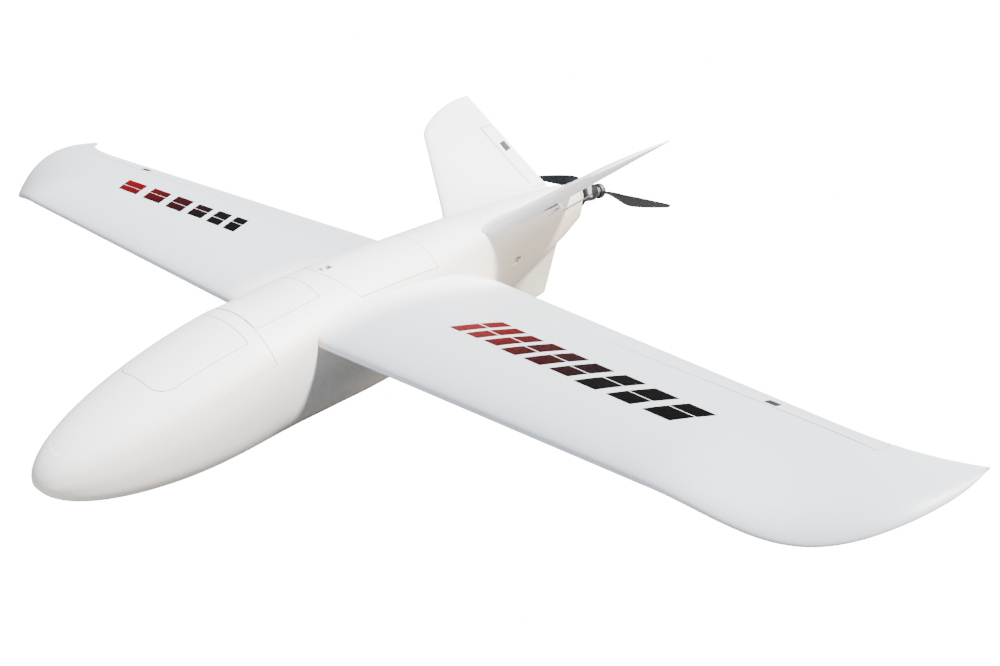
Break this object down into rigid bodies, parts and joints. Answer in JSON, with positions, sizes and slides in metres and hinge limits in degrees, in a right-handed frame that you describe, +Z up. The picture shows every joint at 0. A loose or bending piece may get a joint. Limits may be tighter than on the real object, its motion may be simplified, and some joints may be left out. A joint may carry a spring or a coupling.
{
  "type": "fixed wing drone",
  "caption": "Foam fixed-wing drone with raked wing tips, V tail, keel fin and pusher propeller; control surfaces, servo linkages, propeller and hatches move.",
  "frame": {"origin": "middle of the bounding box in plan, on the ground under the belly and the keel foot", "axes": "+X to the left wing tip, the nose points along -Y, +Z up; X = 0 is the plane of symmetry"},
  "size_m": [1.35, 0.8768, 0.2517],
  "materials": {
    "wing_foam": "moulded foam with a fine bead texture, cool white",
    "tail_foam": "moulded foam with a fine bead texture, cool white",
    "body_foam": "moulded foam with a fine bead texture, warm white",
    "black_plastic": "satin moulded",
    "grey_plastic": "satin moulded",
    "propeller_plastic": "glass-filled, satin",
    "motor_black": "black anodised",
    "aluminium": "turned, satin",
    "steel": "bright wire and ground shaft",
    "carbon": "pultruded carbon tube",
    "plywood": "birch plywood, laser cut",
    "webbing": "woven hook and loop strap",
    "wrap": "shrink wrap",
    "board": "circuit board in a case",
    "white_plastic": "moulded spacer ring, white",
    "printed_film": "printed film, red running to near-black"
  },
  "bodies": {
    "airframe": {"wing_left": "wing_foam", "servo_aileron_left": "black_plastic", "main_spar_left": "carbon", "rear_pin_left": "carbon", "tail_fin_left": "tail_foam", "servo_tail_left": "black_plastic", "wing_right": "wing_foam", "servo_aileron_right": "black_plastic", "main_spar_right": "carbon", "rear_pin_right": "carbon", "tail_fin_right": "tail_foam", "servo_tail_right": "black_plastic", "nose_cover": "body_foam", "fuselage_left": "body_foam", "fuselage_right": "body_foam", "keel_fin": "body_foam", "motor_bulkhead": "white_plastic", "motor_mount": "motor_black", "motor_stator": "steel", "equipment_tray": "plywood", "battery": "wrap", "battery_strap": "webbing", "gps_module": "grey_plastic", "flight_controller": "board", "radio_receiver": "board", "speed_controller": "wrap", "spar_bulkhead": "plywood"},
    "aileron_left": {"aileron_left": "wing_foam", "control_horn_aileron_left": "white_plastic"},
    "servo_arm_aileron_left": {"servo_arm_aileron_left": "white_plastic"},
    "pushrod_aileron_left": {"pushrod_aileron_left": "steel"},
    "ruddervator_left": {"ruddervator_left": "tail_foam", "control_horn_tail_left": "white_plastic"},
    "servo_arm_tail_left": {"servo_arm_tail_left": "white_plastic"},
    "pushrod_tail_left": {"pushrod_tail_left": "steel"},
    "aileron_right": {"aileron_right": "wing_foam", "control_horn_aileron_right": "white_plastic"},
    "servo_arm_aileron_right": {"servo_arm_aileron_right": "white_plastic"},
    "pushrod_aileron_right": {"pushrod_aileron_right": "steel"},
    "ruddervator_right": {"ruddervator_right": "tail_foam", "control_horn_tail_right": "white_plastic"},
    "servo_arm_tail_right": {"servo_arm_tail_right": "white_plastic"},
    "pushrod_tail_right": {"pushrod_tail_right": "steel"},
    "propeller": {"motor_bell": "motor_black", "motor_shaft": "steel", "prop_adapter": "aluminium", "propeller": "propeller_plastic", "prop_nut": "aluminium"},
    "front_hatch": {"front_hatch": "body_foam"},
    "centre_hatch": {"centre_hatch": "body_foam"},
    "rear_hatch": {"rear_hatch": "body_foam"},
    "rear_hatch_latch": {"rear_hatch_latch": "white_plastic"}
  },
  "joints": [
    {"name": "aileron_left_hinge", "type": "hinge", "parent": "airframe", "child": "aileron_left", "pos_m": [0.3, 0.02389, 0.11867], "axis": [0.9757, -0.201, 0.0876], "range_deg": [-25, 25]},
    {"name": "servo_arm_aileron_left_turn", "type": "hinge", "parent": "airframe", "child": "servo_arm_aileron_left", "pos_m": [0.41094, -0.08268, 0.12258], "axis": [0.9757, -0.201, 0.0876], "range_deg": [-25, 25]},
    {"name": "pushrod_aileron_left_turn", "type": "hinge", "parent": "servo_arm_aileron_left", "child": "pushrod_aileron_left", "pos_m": [0.41296, -0.08003, 0.10615], "axis": [0.9757, -0.201, 0.0876], "range_deg": [-25, 25]},
    {"name": "ruddervator_left_hinge", "type": "hinge", "parent": "airframe", "child": "ruddervator_left", "pos_m": [0.0265, 0.30333, 0.14989], "axis": [0.8162, -0.049, 0.5757], "range_deg": [-25, 25]},
    {"name": "servo_arm_tail_left_turn", "type": "hinge", "parent": "airframe", "child": "servo_arm_tail_left", "pos_m": [0.06209, 0.24136, 0.16643], "axis": [0.8162, -0.049, 0.5757], "range_deg": [-25, 25]},
    {"name": "pushrod_tail_left_turn", "type": "hinge", "parent": "servo_arm_tail_left", "child": "pushrod_tail_left", "pos_m": [0.07173, 0.24435, 0.15304], "axis": [0.8162, -0.049, 0.5757], "range_deg": [-25, 25]},
    {"name": "aileron_right_hinge", "type": "hinge", "parent": "airframe", "child": "aileron_right", "pos_m": [-0.3, 0.02389, 0.11867], "axis": [0.9757, 0.201, -0.0876], "range_deg": [-25, 25]},
    {"name": "servo_arm_aileron_right_turn", "type": "hinge", "parent": "airframe", "child": "servo_arm_aileron_right", "pos_m": [-0.41094, -0.08268, 0.12258], "axis": [0.9757, 0.201, -0.0876], "range_deg": [-25, 25]},
    {"name": "pushrod_aileron_right_turn", "type": "hinge", "parent": "servo_arm_aileron_right", "child": "pushrod_aileron_right", "pos_m": [-0.41296, -0.08003, 0.10615], "axis": [0.9757, 0.201, -0.0876], "range_deg": [-25, 25]},
    {"name": "ruddervator_right_hinge", "type": "hinge", "parent": "airframe", "child": "ruddervator_right", "pos_m": [-0.0265, 0.30333, 0.14989], "axis": [0.8162, 0.049, -0.5757], "range_deg": [-25, 25]},
    {"name": "servo_arm_tail_right_turn", "type": "hinge", "parent": "airframe", "child": "servo_arm_tail_right", "pos_m": [-0.06209, 0.24136, 0.16643], "axis": [0.8162, 0.049, -0.5757], "range_deg": [-25, 25]},
    {"name": "pushrod_tail_right_turn", "type": "hinge", "parent": "servo_arm_tail_right", "child": "pushrod_tail_right", "pos_m": [-0.07173, 0.24435, 0.15304], "axis": [0.8162, 0.049, -0.5757], "range_deg": [-25, 25]},
    {"name": "propeller_spin", "type": "hinge", "parent": "airframe", "child": "propeller", "pos_m": [0, 0.41918, 0.12601], "axis": [0, 0.9936, -0.1132], "continuous": true},
    {"name": "front_hatch_lift", "type": "slide", "parent": "airframe", "child": "front_hatch", "axis": [0, 0, 1], "range_m": [0, 0.06]},
    {"name": "centre_hatch_lift", "type": "slide", "parent": "airframe", "child": "centre_hatch", "axis": [0, 0, 1], "range_m": [0, 0.06]},
    {"name": "rear_hatch_lift", "type": "slide", "parent": "airframe", "child": "rear_hatch", "axis": [0, 0, 1], "range_m": [0, 0.06]},
    {"name": "rear_hatch_latch_slide", "type": "slide", "parent": "rear_hatch", "child": "rear_hatch_latch", "axis": [0, 1, 0], "range_m": [0, 0.006]}
  ],
  "couplings": [
    {"joint": "servo_arm_aileron_left_turn", "follows": "aileron_left_hinge", "ratio": 1},
    {"joint": "pushrod_aileron_left_turn", "follows": "aileron_left_hinge", "ratio": -1},
    {"joint": "servo_arm_tail_left_turn", "follows": "ruddervator_left_hinge", "ratio": 1},
    {"joint": "pushrod_tail_left_turn", "follows": "ruddervator_left_hinge", "ratio": -1},
    {"joint": "servo_arm_aileron_right_turn", "follows": "aileron_right_hinge", "ratio": 1},
    {"joint": "pushrod_aileron_right_turn", "follows": "aileron_right_hinge", "ratio": -1},
    {"joint": "servo_arm_tail_right_turn", "follows": "ruddervator_right_hinge", "ratio": 1},
    {"joint": "pushrod_tail_right_turn", "follows": "ruddervator_right_hinge", "ratio": -1}
  ]
}
